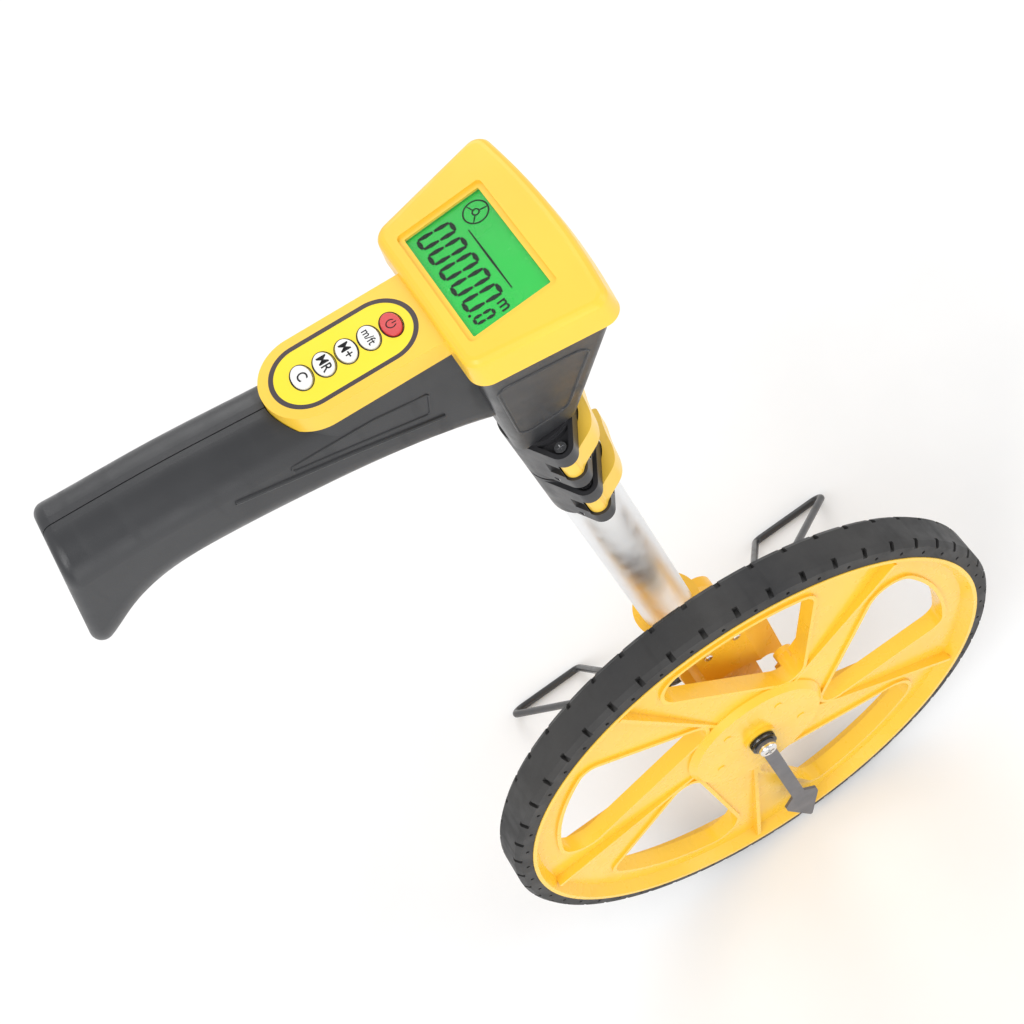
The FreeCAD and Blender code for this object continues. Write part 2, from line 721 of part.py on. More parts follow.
def sensor_cover():
    """The hood on the outboard side of the bracket, open below round the hub."""
    body = cover_form(0).cut(cover_form(cover_wall))
    arch = along_y(cover_arch_radius, 0, bracket_back)
    pole_space = along_z(lower_tube_radius + bracket_wall + 0.2, -20, cover_top + 5)
    block_space = box(bracket_left - 1, 24.2, bracket_front - 0.2, bracket_back, -40,
                      bracket_shoulder + 0.2)
    wing_space = box(cover_left - 1, cover_right - cover_wall, cover_back - 4.2, bracket_back, 10, 91)
    holes = [along_y(1.5, 0, bracket_back, x, z) for x, z, length in cover_screw_places]
    body = body.cut([arch, pole_space, block_space, wing_space] + holes)
    return max(body.Solids, key=lambda solid: solid.Volume)


def sensor_board():
    back = bracket_front - 1.4
    return box(11, 29, back - 1.6, back, 45, 69)


def reed_switches():
    y = bracket_front - 1.4 - 1.6 - 1.1
    return group([along_x(1.1, 12, 26, y, 49.0), along_x(1.1, 12, 26, y, 54.0)])


def cover_screws():
    return group([pan_screw(2.6, 1.6, 1.2, length, x, cover_front, z, Vector(0, 1, 0))
                  for x, z, length in cover_screw_places])


def stand_corner(x):
    return Vector(x, stand_foot_y, stand_wire_radius)


def kickstand_wire():
    """One bent wire: two loops that meet the ground and a shaft through the bracket."""
    left = bracket_left - 5.5
    right = bracket_right + 5.5
    weld = 3.5
    half_left = [at(0, stand_pivot_y, stand_pivot_z), at(left, stand_pivot_y, stand_pivot_z),
                 stand_corner(stand_inner_left), stand_corner(stand_outer_left),
                 at(left - weld, stand_pivot_y + 1, stand_pivot_z - 1)]
    half_right = [at(0, stand_pivot_y, stand_pivot_z), at(right, stand_pivot_y, stand_pivot_z),
                  stand_corner(stand_inner_right), stand_corner(stand_outer_right),
                  at(right + weld, stand_pivot_y + 1, stand_pivot_z - 1)]
    return wire_rod(half_left).fuse(wire_rod(half_right)).removeSplitter()


def wire_rod(points):
    """Round wire of the stand's gauge along straight runs with bent corners."""
    edges = []
    start = points[0]
    for index in range(1, len(points) - 1):
        here = points[index]
        to_before = (points[index - 1] - here).normalize()
        to_after = (points[index + 1] - here).normalize()
        half_turn = to_before.getAngle(to_after) / 2
        cut = stand_bend / math.tan(half_turn)
        middle = (to_before + to_after).normalize()
        centre = here + middle * (stand_bend / math.sin(half_turn))
        arc_start = here + to_before * cut
        arc_end = here + to_after * cut
        edges.append(Part.LineSegment(start, arc_start).toShape())
        edges.append(Part.Arc(arc_start, centre - middle * stand_bend, arc_end).toShape())
        start = arc_end
    edges.append(Part.LineSegment(start, points[-1]).toShape())
    path = Part.Wire(edges)
    heading = (points[1] - points[0]).normalize()
    profile = Part.Wire([Part.Circle(points[0], heading, stand_wire_radius).toShape()])
    return path.makePipeShell([profile], True, False)


# ---- head and handle -----------------------------------------------------------------------
def head_outline(grow, z):
    """Plan of the head: a trapezium, wider and bowed at the far edge."""
    near = head_near_x - grow
    far = head_far_x + grow
    near_half = head_near_half + grow
    far_half = head_far_half + grow
    radius = max(head_corner + grow, 1.0)
    corners = [(near, pole_y - near_half, radius), (far, pole_y - far_half, radius * 0.8),
               (far + head_bow, pole_y, head_bow_radius), (far, pole_y + far_half, radius * 0.8),
               (near, pole_y + near_half, radius)]
    return corner_wire(corners, lambda u, v: at(u, v, z))


def neck_outline(grow, z):
    """Plan of the housing where it meets the pole, with the same number of corners."""
    half = neck_half + grow
    corners = [(-half, pole_y - half, 5.0), (half, pole_y - half, 5.0),
               (half + 0.5, pole_y, 250.0), (half, pole_y + half, 5.0), (-half, pole_y + half, 5.0)]
    return corner_wire(corners, lambda u, v: at(u, v, z))


def head_body(shrink):
    top = cover_skirt_z + (1.0 if shrink else 0.0)
    low = neck_z + (-1.0 if shrink else 0.0)
    return Part.makeLoft([neck_outline(-shrink, low), head_outline(-2.5 - shrink, top)], True, True)


def tilted(shape):
    """Turned up to the keypad's slope, about the line where it leaves the head."""
    copy = shape.copy()
    copy.rotate(at(head_near_x, 0, face_z - keypad_drop), Vector(0, 1, 0), keypad_tilt)
    return copy


def keypad_slab(shrink, depth_top, depth_low, extra=0.0):
    """A slab with the keypad's rounded end, given as depths below the keypad face."""
    half = keypad_half - shrink
    end = head_near_x - keypad_length + shrink
    near = head_near_x + extra
    top = face_z - keypad_drop
    corners = [(near, pole_y - half, 0.5), (near, pole_y + half, 0.5),
               (end, pole_y + half, half - 0.05), (end, pole_y - half, half - 0.05)]
    return tilted(flat_plate(corners, top - depth_low, top - depth_top))


def label_slab(shrink, depth_top, depth_low):
    """A stadium-shaped slab under the keys, given as depths below the keypad face."""
    half = keypad_half - label_inset - shrink
    near = head_near_x + label_near - shrink
    end = head_near_x - keypad_length + label_inset + shrink
    top = face_z - keypad_drop
    bend = half - 0.05
    corners = [(near, pole_y - half, bend), (near, pole_y + half, bend),
               (end, pole_y + half, bend), (end, pole_y - half, bend)]
    return tilted(flat_plate(corners, top - depth_low, top - depth_top))


def display_cover():
    rounding = [(0.0, cover_skirt_z), (-1.2, face_z - edge_round)]
    for step in range(1, 5):
        turn = math.radians(90 * step / 4)
        rounding.append((-1.2 - edge_round * (1 - math.cos(turn)),
                         face_z - edge_round * (1 - math.sin(turn))))
    outlines = [head_outline(grow, z) for grow, z in rounding]
    head = joined([Part.makeLoft([outlines[index], outlines[index + 1]], True, True)
                   for index in range(len(outlines) - 1)])
    hollow = Part.makeLoft([head_outline(-cover_shell, cover_skirt_z - 0.01),
                            head_outline(-edge_round - cover_shell, face_z - cover_shell)],
                           True, True)
    neck = keypad_slab(0, 0, keypad_rise, 6.0)
    neck_hollow = keypad_slab(cover_shell, cover_shell, keypad_rise + 1, 12.0)
    body = head.fuse(neck).cut([hollow, neck_hollow])
    frame_recess = flat_plate(lcd_corners(lcd_frame_width, 2.0), face_z - lcd_step, face_z + 1)
    lcd_hole = flat_plate(lcd_corners(0, 0.6), face_z - 10, face_z + 1)
    label_recess = label_slab(0, -1, 0.6)
    key_holes = [tilted(key_prism(index, key_play, face_z - keypad_drop - 8,
                                  face_z - keypad_drop + 4)) for index in range(5)]
    below = box(head_near_x, 60, pole_y - 80, pole_y + 80, cover_skirt_z - 20, cover_skirt_z)
    body = body.cut([frame_recess, lcd_hole, label_recess, below] + key_holes)
    return body.removeSplitter()


def lcd_corners(grow, radius):
    return [(lcd_near_x - grow, pole_y - lcd_half - grow, radius),
            (lcd_far_x + grow, pole_y - lcd_half - grow, radius),
            (lcd_far_x + grow, pole_y + lcd_half + grow, radius),
            (lcd_near_x - grow, pole_y + lcd_half + grow, radius)]


def lcd_window():
    return flat_plate(lcd_corners(0, 0.6), face_z - cover_shell - 0.4, face_z - lcd_step - 0.3)


def lcd_panel():
    return flat_plate(lcd_corners(1.2, 0.8), face_z - cover_shell - 3.4, face_z - cover_shell - 0.4)


def main_board():
    corners = [(head_near_x + 6, pole_y - 34, 2), (head_far_x - 8, pole_y - 34, 2),
               (head_far_x - 8, pole_y + 34, 2), (head_near_x + 6, pole_y + 34, 2)]
    return flat_plate(corners, face_z - cover_shell - 8.0, face_z - cover_shell - 6.4)


def board_parts():
    """Controller, crystal, buzzer and plug that stand on the board's underside and top."""
    under = face_z - cover_shell - 8.0
    chip = box(4, 18, pole_y - 8, pole_y + 6, under - 1.6, under)
    crystal = box(22, 26, pole_y - 6, pole_y + 5, under - 3.2, under)
    buzzer = along_z(6.0, under - 6.5, under, 28, pole_y + 22)
    plug = box(-4, 4, pole_y + 16, pole_y + 28, under - 5.5, under)
    return group([chip, crystal, buzzer, plug])


def backlight_plate():
    top = face_z - cover_shell - 3.4
    return flat_plate(lcd_corners(0.6, 0.8), top - 3.0, top)


# ---- keypad --------------------------------------------------------------------------------
def key_prism(index, grow, z_low, z_high):
    x = first_key_x - index * key_pitch
    major = key_half_y + grow
    minor = key_half_x + grow
    ellipse = Part.Ellipse(at(x, pole_y + major, z_low), at(x + minor, pole_y, z_low),
                           at(x, pole_y, z_low))
    face = Part.Face(Part.Wire([ellipse.toShape()]))
    return face.extrude(Vector(0, 0, z_high - z_low))


def keypad_ring():
    outer = label_slab(0, 0.0, 0.6)
    inner = label_slab(ring_width, -1, 2)
    return outer.cut(inner)


def keypad_label():
    label = label_slab(ring_width, 0.05, 0.6)
    holes = [tilted(key_prism(index, key_play, face_z - 20, face_z + 5)) for index in range(5)]
    return label.cut(holes)


def key(index):
    top = face_z - keypad_drop
    stem = key_prism(index, 0, top - 4.0, top + key_proud)
    rim = edges_at(stem, lambda edge: abs(edge.BoundBox.ZMin - edge.BoundBox.ZMax) < 0.01
                   and edge.CenterOfMass.z > at(0, 0, top).z)
    stem = stem.makeFillet(0.35, rim)
    flange = key_prism(index, -0.1, top - 4.2, top - cover_shell - 0.1)
    x = first_key_x - index * key_pitch
    clip = box(x - key_pitch / 2 + 0.2, x + key_pitch / 2 - 0.2, pole_y - key_half_y - 1,
               pole_y + key_half_y + 1, top - 4.2, top - cover_shell - 0.1)
    return tilted(stem.fuse([flange, clip]))


def dome_mat():
    return keypad_slab(cover_shell + 0.4, 4.2 + key_travel + 0.2, 4.2 + key_travel + 1.8, -2.0)


def keypad_board():
    return keypad_slab(cover_shell + 0.4, 4.2 + key_travel + 1.8, 4.2 + key_travel + 3.2, -2.0)


# ---- handle --------------------------------------------------------------------------------
def grip_sections(shrink):
    """Sections down the grip: distance behind the pole, top, bottom and half-width."""
    stations = ((6.0, 430.0, 362.0, 17.5), (20.0, 433.0, 373.0, 18.0), (55.0, 441.0, 390.0, 18.5),
                (92.0, 449.5, 402.5, 19.0), (125.0, 457.0, 411.5, 19.5),
                (150.0, 461.5, 414.5, 19.5), (172.0, 465.0, 409.0, 20.0),
                (202.0, 468.0, 405.0, 20.0))
    wires = []
    for distance, top, bottom, half in stations:
        centre = (top + bottom) / 2
        tall = (top - bottom) / 2 - shrink
        wide = half - shrink
        wires.append(oval_wire(-distance, centre, wide, tall))
    return wires


def oval_wire(x, centre, wide, tall):
    """An upright rounded section across the grip."""
    radius = min(wide, tall) * 0.82
    corners = [(pole_y - wide, centre - tall, radius), (pole_y + wide, centre - tall, radius),
               (pole_y + wide, centre + tall, radius), (pole_y - wide, centre + tall, radius)]
    return corner_wire(corners, lambda u, v: at(x, u, v))


def grip(shrink):
    """The grip's outer form, or one shrunk all round, with its slanted end rounded over."""
    solid = Part.makeLoft(grip_sections(shrink), True, False).cut(butt_cutter(shrink))
    end_face = max(solid.Faces, key=lambda face: -face.CenterOfMass.x)
    return solid.makeFillet(max(butt_round - shrink, 0.5), end_face.OuterWire.Edges)


def butt_cutter(shrink):
    """Everything behind the slanted end face."""
    slant = (butt_top_x - butt_bottom_x) / (butt_top_z - butt_bottom_z)
    high, low, far = 520.0, 340.0, -320.0
    high_x = butt_top_x + slant * (high - butt_top_z) + shrink
    low_x = butt_bottom_x + slant * (low - butt_bottom_z) + shrink
    points = [at(high_x, pole_y - 40, high), at(low_x, pole_y - 40, low),
              at(far, pole_y - 40, low), at(far, pole_y - 40, high)]
    face = Part.Face(Part.makePolygon(points + points[:1]))
    return face.extrude(Vector(0, 80, 0))


def pedestal(shrink):
    return keypad_slab(1.0 + shrink, keypad_rise, keypad_rise + 14.0 - (2 if shrink else 0), 16.0)


def housing():
    """The whole black housing, hollow, before it is split down the middle."""
    outer = head_body(0).fuse([grip(0), pedestal(0)])
    inner = head_body(housing_wall).fuse([grip(housing_wall), pedestal(housing_wall)])
    inner = inner.cut(box(-60, 60, -30, 100, neck_z - 10, neck_z + neck_floor))
    open_top = keypad_slab(1.0 + housing_wall, keypad_rise - 1, keypad_rise + 4, 16.0)
    socket = along_z(neck_half - 0.8, neck_z + neck_floor / 2, neck_z + 50)
    body = outer.cut([inner, open_top]).fuse(socket)
    tube_hole = along_z(upper_tube_radius + 0.05, neck_z - 1, neck_z + 60)
    above_cover = keypad_slab(-0.4, -40, keypad_rise, 30.0)
    skin = outer.cut(head_body(seam_depth).fuse([grip(seam_depth), pedestal(seam_depth)]))
    seam = skin.common(box(-260, 120, pole_y - seam_width / 2, pole_y + seam_width / 2, 300, 520))
    return body.cut([tube_hole, above_cover, door_opening(door_play), seam])


def grip_box(near, far, half, low, high):
    slab = Part.makeBox(far - near, 2 * half, high - low, Vector(-far, -half, low))
    slab.rotate(Vector(0, 0, 0), Vector(0, 1, 0), handle_lift)
    slab.translate(at(0, pole_y, battery_floor))
    return slab


def door_opening(play):
    return grip_box(door_near - play, door_far + play, door_half + play, -40, 0)


def battery_door():
    """A lid in the grip's underside, cut from the grip's own skin."""
    skin = grip(0).cut(grip(door_thickness))
    lid = skin.common(grip_box(door_near, door_far, door_half, -40, 0))
    return max(lid.Solids, key=lambda solid: solid.Volume)


def batteries():
    cells = []
    for index in range(2):
        near = door_near + index * (battery_length + 0.6)
        cell = Part.makeCylinder(battery_radius, battery_length - 1.2, Vector(0, 0, 0), Vector(-1, 0, 0))
        nub = Part.makeCylinder(2.6, battery_length, Vector(0, 0, 0), Vector(-1, 0, 0))
        cell = cell.fuse(nub)
        cell.translate(Vector(-near, 0, battery_rise))
        cell.rotate(Vector(0, 0, 0), Vector(0, 1, 0), handle_lift)
        cell.translate(at(0, pole_y, battery_floor))
        cells.append(cell)
    return group(cells)


def battery_contacts():
    plates = []
    for near, far in ((door_near - 1.4, door_near - 0.8),
                      (door_near + 2 * battery_length + 1.0, door_near + 2 * battery_length + 1.6)):
        plate = Part.makeBox(far - near, 12, 12, Vector(-far, -6, 6))
        plate.rotate(Vector(0, 0, 0), Vector(0, 1, 0), handle_lift)
        plate.translate(at(0, pole_y, battery_floor))
        plates.append(plate)
    return group(plates)


def half_of(shape, side):
    low, high = (pole_y - 120, pole_y) if side < 0 else (pole_y, pole_y + 120)
    return shape.common(box(-260, 120, low, high, neck_z - 5, 560))


def write(name, shape):
    path = os.path.join("parts", name + ".step")
    shape.exportStep(path)
    solids = shape.Solids
    volume = sum(solid.Volume for solid in solids)
    print("%-20s solids %2d  volume %10.0f  valid %s" % (name, len(solids), volume, shape.isValid()))


def main():
    whole = housing()
    pieces = {
        "tyre": tyre(),
        "wheel_rim": wheel_rim(),
        "outboard_bearing": outboard_bearing(),
        "inboard_bearing": inboard_bearing(),
        "bearing_spacer": bearing_spacer(),
        "sensor_magnets": sensor_magnets(),
        "axle": axle(),
        "axle_bush": axle_bush(),
        "nut_washer": nut_washer(),
        "axle_nut": axle_nut(),
        "hub_washer": hub_washer(),
        "lock_ring": lock_ring(),
        "flange_washer": flange_washer(),
        "axle_screw": axle_screw(),
        "start_pointer": start_pointer(),
        "lower_tube": lower_tube(),
        "middle_tube": middle_tube(),
        "upper_tube": upper_tube(),
        "middle_bush": middle_bush(),
        "upper_bush": upper_bush(),
        "lower_clamp": clamp(lower_clamp_z, lower_tube_radius, middle_tube_radius),
        "upper_clamp": clamp(upper_clamp_z, middle_tube_radius, upper_tube_radius),
        "lower_clamp_pin": clamp_pin(lower_clamp_z),
        "upper_clamp_pin": clamp_pin(upper_clamp_z),
        "lower_clamp_bolt": clamp_bolt(lower_clamp_z),
        "upper_clamp_bolt": clamp_bolt(upper_clamp_z),
        "lower_lever": lever(lower_clamp_z),
        "upper_lever": lever(upper_clamp_z),
        "fork_bracket": fork_bracket(),
        "pole_screw": pole_screw(),
        "sensor_cover": sensor_cover(),
        "cover_screws": cover_screws(),
        "sensor_board": sensor_board(),
        "reed_switches": reed_switches(),
        "kickstand_wire": kickstand_wire(),
        "display_cover": display_cover(),
        "lcd_window": lcd_window(),
        "lcd_panel": lcd_panel(),
        "backlight_plate": backlight_plate(),
        "main_board": main_board(),
        "board_parts": board_parts(),
        "keypad_ring": keypad_ring(),
        "keypad_label": keypad_label(),
        "dome_mat": dome_mat(),
        "keypad_board": keypad_board(),
        "right_housing": half_of(whole, -1),
        "left_housing": half_of(whole, 1),
        "battery_door": battery_door(),
        "batteries": batteries(),
        "battery_contacts": battery_contacts(),
    }
    for index, name in enumerate(("key_power", "key_unit", "key_store", "key_recall", "key_clear")):
        pieces[name] = key(index)
    for name, shape in pieces.items():
        write(name, shape)


main()
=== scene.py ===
# %% [markdown]
# # A measuring wheel, finished for a picture
# The wheel, pole, head and stand come as solid parts with their joints. This lesson gives every
# part its finish, adds the fine things that a mould or a printer puts on it, and sets up the light.
# All lengths are in metres, in one shared frame: the wheel touches the ground at the origin, +X is
# the walking direction and +Z runs up the pole.

# %% Load the frame
import bpy
import bmesh
import json
import math
from mathutils import Matrix, Vector


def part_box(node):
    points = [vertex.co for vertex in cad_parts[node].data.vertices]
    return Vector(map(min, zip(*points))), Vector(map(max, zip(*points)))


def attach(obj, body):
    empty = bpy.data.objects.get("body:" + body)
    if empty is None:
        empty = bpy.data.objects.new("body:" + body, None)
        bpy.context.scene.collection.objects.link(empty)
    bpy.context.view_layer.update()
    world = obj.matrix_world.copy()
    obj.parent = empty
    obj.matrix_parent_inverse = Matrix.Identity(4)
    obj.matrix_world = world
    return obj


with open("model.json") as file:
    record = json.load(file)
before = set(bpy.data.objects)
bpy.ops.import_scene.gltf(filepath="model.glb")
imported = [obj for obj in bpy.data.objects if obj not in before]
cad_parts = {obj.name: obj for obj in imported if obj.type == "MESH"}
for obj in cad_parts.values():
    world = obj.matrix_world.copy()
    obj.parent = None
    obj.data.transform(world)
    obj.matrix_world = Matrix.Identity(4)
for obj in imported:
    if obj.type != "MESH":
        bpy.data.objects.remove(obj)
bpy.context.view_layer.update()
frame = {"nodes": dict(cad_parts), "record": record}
nodes = frame["nodes"]

# %% [markdown]
# ## Camera
# The wheel is seen from above and in front, with the camera rolled so that the pole runs from the
# top left to the bottom right. A long lens keeps the wheel's ellipse clean.

# %% Camera
camera_place = (-0.0094, -0.3772, 1.1297)
camera_turn = (25.32, 18.72, -30.76)
camera_lens = 62.57
bpy.ops.object.select_all(action="DESELECT")
bpy.ops.object.camera_add(location=camera_place, rotation=[math.radians(a) for a in camera_turn])
camera = bpy.context.object
camera.data.lens = camera_lens
camera.data.sensor_width = 36.0
camera.data.clip_start = 0.05
bpy.context.scene.camera = camera
print("camera", [round(v, 3) for v in camera.location])

# %% [markdown]
# ## Floor and light
# Shiny yellow mouldings show whatever surrounds them. A white room made of large soft lights gives
# long quiet highlights; small lamps would give hard spots. One large lamp stands over the camera's
# left shoulder, one opposite fills the dark side, and a low one lifts the grip's underside.

# %% Floor and light
bpy.ops.object.select_all(action="DESELECT")
bpy.ops.mesh.primitive_plane_add(size=14.0, location=(0, 0, 0))
floor = bpy.context.object
floor.name = "studio_floor"


def soft_lamp(name, place, aim, size, watts):
    bpy.ops.object.light_add(type="AREA", location=place)
    lamp = bpy.context.object
    lamp.name = name
    lamp.data.size = size
    lamp.data.energy = watts
    lamp.rotation_euler = (Vector(aim) - Vector(place)).to_track_quat("-Z", "Y").to_euler()
    return lamp


soft_lamp("key_lamp", (-1.6, -1.2, 2.4), (0, 0, 0.3), 1.6, 34.0)
soft_lamp("fill_lamp", (1.9, -0.9, 1.5), (0, 0, 0.25), 1.8, 15.0)
soft_lamp("back_lamp", (0.6, 2.0, 1.8), (0, 0, 0.3), 1.6, 16.0)
soft_lamp("low_lamp", (-0.5, -2.1, 0.5), (0, 0, 0.3), 1.2, 6.0)
world = bpy.data.worlds.new("white_room")
bpy.context.scene.world = world
world.use_nodes = True
world.node_tree.nodes["Background"].inputs["Color"].default_value = (1.0, 1.0, 1.0, 1.0)
world.node_tree.nodes["Background"].inputs["Strength"].default_value = 0.70
bpy.context.scene.view_settings.view_transform = "Standard"
print("lamps placed")

# %% [markdown]
# ## One recipe for moulded and metal finishes
# Real surfaces differ a little from place to place. Each finish here is a principled shader fed by
# three noises that read Object coordinates: a wide one shifts the colour slightly, a middling one
# moves the roughness between two values, and a fine one lifts a bump. A fourth, stretched noise
# draws faint handling scratches in the roughness.

# %% Finish recipe
def link(tree, out_node, out_name, in_node, in_name):
    tree.links.new(out_node.outputs[out_name], in_node.inputs[in_name])


def noise(tree, source, scale, detail=3.0, stretch=(1, 1, 1)):
    mapping = tree.nodes.new("ShaderNodeMapping")
    mapping.inputs["Scale"].default_value = stretch
    texture = tree.nodes.new("ShaderNodeTexNoise")
    texture.inputs["Scale"].default_value = scale
    texture.inputs["Detail"].default_value = detail
    link(tree, source, "Object", mapping, "Vector")
    link(tree, mapping, "Vector", texture, "Vector")
    return texture


def spread(tree, texture, low, high, from_low=0.35, from_high=0.65):
    span = tree.nodes.new("ShaderNodeMapRange")
    span.inputs["From Min"].default_value = from_low
    span.inputs["From Max"].default_value = from_high
    span.inputs["To Min"].default_value = low
    span.inputs["To Max"].default_value = high
    link(tree, texture, "Fac", span, "Value")
    return span


def finish(name, colour, rough, grain=900.0, relief=0.00004, shade=0.06, metal=0.0, coat=0.0,
           scratch=0.05, stretch=(1, 1, 1), tint=None, specular=0.5):
    material = bpy.data.materials.new(name)
    material.use_nodes = True
    tree = material.node_tree
    shader = tree.nodes["Principled BSDF"]
    source = tree.nodes.new("ShaderNodeTexCoord")
    wide = noise(tree, source, 14.0)
    blend = tree.nodes.new("ShaderNodeMix")
    blend.data_type = "RGBA"
    darker = [c * (1 - shade) for c in colour]
    lighter = tint or [min(1.0, c * (1 + shade)) for c in colour]
    blend.inputs[6].default_value = (*darker, 1.0)
    blend.inputs[7].default_value = (*lighter, 1.0)
    tone = spread(tree, wide, 0.0, 1.0, 0.3, 0.7)
    tree.links.new(tone.outputs["Result"], blend.inputs[0])
    tree.links.new(blend.outputs[2], shader.inputs["Base Color"])
    middle = noise(tree, source, 75.0)
    gloss = spread(tree, middle, rough * 0.85, rough * 1.2)
    marks = noise(tree, source, 160.0, 1.0, (1.0, 0.06, 0.3))
    lines = spread(tree, marks, 0.0, scratch, 0.60, 0.72)
    total = tree.nodes.new("ShaderNodeMath")
    total.operation = "ADD"
    total.use_clamp = True
    tree.links.new(gloss.outputs["Result"], total.inputs[0])
    tree.links.new(lines.outputs["Result"], total.inputs[1])
    tree.links.new(total.outputs["Value"], shader.inputs["Roughness"])
    fine = noise(tree, source, grain, 4.0, stretch)
    bump = tree.nodes.new("ShaderNodeBump")
    bump.inputs["Strength"].default_value = 0.6
    bump.inputs["Distance"].default_value = relief
    link(tree, fine, "Fac", bump, "Height")
    link(tree, bump, "Normal", shader, "Normal")
    shader.inputs["Metallic"].default_value = metal
    shader.inputs["Coat Weight"].default_value = coat
    shader.inputs["Coat Roughness"].default_value = 0.12
    shader.inputs["Specular IOR Level"].default_value = specular
    return material


# %% [markdown]
# ## The finishes
# The yellow is a glossy moulding; the housing is the same plastic in black with a fine spark
# texture; the tyre is matt rubber with a little dust; the pole is satin anodised aluminium, drawn
# lengthways, so its grain is stretched along Z.

# %% The finishes
yellow = (0.95, 0.58, 0.040)
finishes = {
    "tyre_rubber": finish("tyre_rubber", (0.026, 0.026, 0.028), 0.62, 1100, 0.00009, 0.22,
                          tint=[0.045, 0.043, 0.041], scratch=0.1),
    "wheel_yellow": finish("wheel_yellow", yellow, 0.27, 700, 0.00002, 0.05, coat=0.25),
    "bracket_yellow": finish("bracket_yellow", (0.93, 0.53, 0.032), 0.3, 700, 0.00003, 0.06, coat=0.2),
    "lever_yellow": finish("lever_yellow", (0.95, 0.61, 0.07), 0.33, 900, 0.00003, 0.05, coat=0.15),
    "cover_yellow": finish("cover_yellow", (0.95, 0.60, 0.050), 0.34, 1500, 0.00004, 0.04, coat=0.15),
    "label_yellow": finish("label_yellow", (0.97, 0.76, 0.02), 0.4, 1800, 0.00002, 0.03),
    "housing_black": finish("housing_black", (0.030, 0.031, 0.034), 0.34, 2400, 0.00009, 0.15,
                            scratch=0.12),
    "clamp_black": finish("clamp_black", (0.030, 0.030, 0.033), 0.38, 1800, 0.00006, 0.12),
    "stand_black": finish("stand_black", (0.022, 0.022, 0.024), 0.35, 1400, 0.00005, 0.1, coat=0.2),
    "pointer_grey": finish("pointer_grey", (0.13, 0.13, 0.145), 0.42, 1600, 0.00005, 0.08, metal=0.2),
    "washer_black": finish("washer_black", (0.018, 0.018, 0.02), 0.3, 900, 0.00003, 0.1, metal=0.4),
    "trim_black": finish("trim_black", (0.045, 0.030, 0.038), 0.35, 1500, 0.00002, 0.05),
    "tube_aluminium": finish("tube_aluminium", (0.86, 0.87, 0.88), 0.40, 1600, 0.00004, 0.03,
                             metal=1.0, stretch=(1, 1, 0.02)),
    "screw_steel": finish("screw_steel", (0.74, 0.74, 0.75), 0.16, 900, 0.00002, 0.05, metal=1.0),
    "axle_steel": finish("axle_steel", (0.60, 0.60, 0.61), 0.28, 1200, 0.00004, 0.05, metal=1.0),
    "bearing_steel": finish("bearing_steel", (0.66, 0.67, 0.68), 0.2, 900, 0.00002, 0.05, metal=1.0),
    "magnet_grey": finish("magnet_grey", (0.45, 0.46, 0.48), 0.25, 900, 0.00003, 0.05, metal=1.0),
    "contact_brass": finish("contact_brass", (0.80, 0.60, 0.25), 0.25, 900, 0.00003, 0.06, metal=1.0),
    "bush_white": finish("bush_white", (0.80, 0.79, 0.75), 0.45, 900, 0.00003, 0.04),
    "board_green": finish("board_green", (0.012, 0.13, 0.045), 0.35, 500, 0.00005, 0.12, coat=0.3),
    "chip_black": finish("chip_black", (0.02, 0.02, 0.02), 0.5, 1200, 0.00004, 0.1),
    "mat_grey": finish("mat_grey", (0.40, 0.41, 0.43), 0.6, 900, 0.00005, 0.06),
    "battery_silver": finish("battery_silver", (0.45, 0.46, 0.48), 0.3, 600, 0.00002, 0.08, metal=0.6),
    "diffuser_white": finish("diffuser_white", (0.82, 0.85, 0.82), 0.5, 600, 0.00002, 0.03),
    "key_white": finish("key_white", (0.86, 0.86, 0.86), 0.3, 1500, 0.00002, 0.02, coat=0.3),
    "key_red": finish("key_red", (0.66, 0.05, 0.055), 0.3, 1500, 0.00002, 0.05, coat=0.3),
    "print_black": finish("print_black", (0.012, 0.012, 0.014), 0.5, 900, 0.00001, 0.05,
                          specular=0.25),
    "segment_dark": finish("segment_dark", (0.001, 0.012, 0.004), 0.6, 900, 0.00001, 0.2,
                           specular=0.15),
}
print("finishes:", len(finishes))

# %% [markdown]
# ## The lit display
# A backlit display glows evenly. The green glass gets an emission
# of its own colour. The clear window over it only needs to carry a reflection, so it is mostly
# see-through and smooth; real refraction would cost render time and show nothing more.

# %% The lit display
def lit_glass(name, colour, glow):
    material = finish(name, colour, 0.25, 800, 0.00001, 0.1)
    shader = material.node_tree.nodes["Principled BSDF"]
    shader.inputs["Emission Color"].default_value = (*colour, 1.0)
    shader.inputs["Emission Strength"].default_value = glow
    return material


def clear_glass(name, colour, veil):
    material = finish(name, colour, 0.06, 500, 0.00001, 0.05)
    material.node_tree.nodes["Principled BSDF"].inputs["Alpha"].default_value = veil
    return material


finishes["lcd_green"] = lit_glass("lcd_green", (0.0, 0.44, 0.04), 0.20)
finishes["window_clear"] = clear_glass("window_clear", (0.85, 1.0, 0.9), 0.03)
finishes["switch_glass"] = clear_glass("switch_glass", (0.8, 0.9, 0.85), 0.35)
floor.data.materials.append(finish("floor_white", (0.90, 0.90, 0.90), 0.75, 60, 0.00002, 0.01))

# %% [markdown]
# ## Give each part its finish
# Every part names the finish it wears in the record that came with the frame, so one loop dresses
# them all.

# %% Dress the parts
slot_of = {part["node"]: part["material_slot"] for part in frame["record"]["subparts"]}
for name, part in nodes.items():
    if not part.material_slots:
        part.data.materials.append(finishes[slot_of[name]])
    for place in part.material_slots:
        place.material = finishes[slot_of[name]]
print("dressed", len(slot_of), "parts")


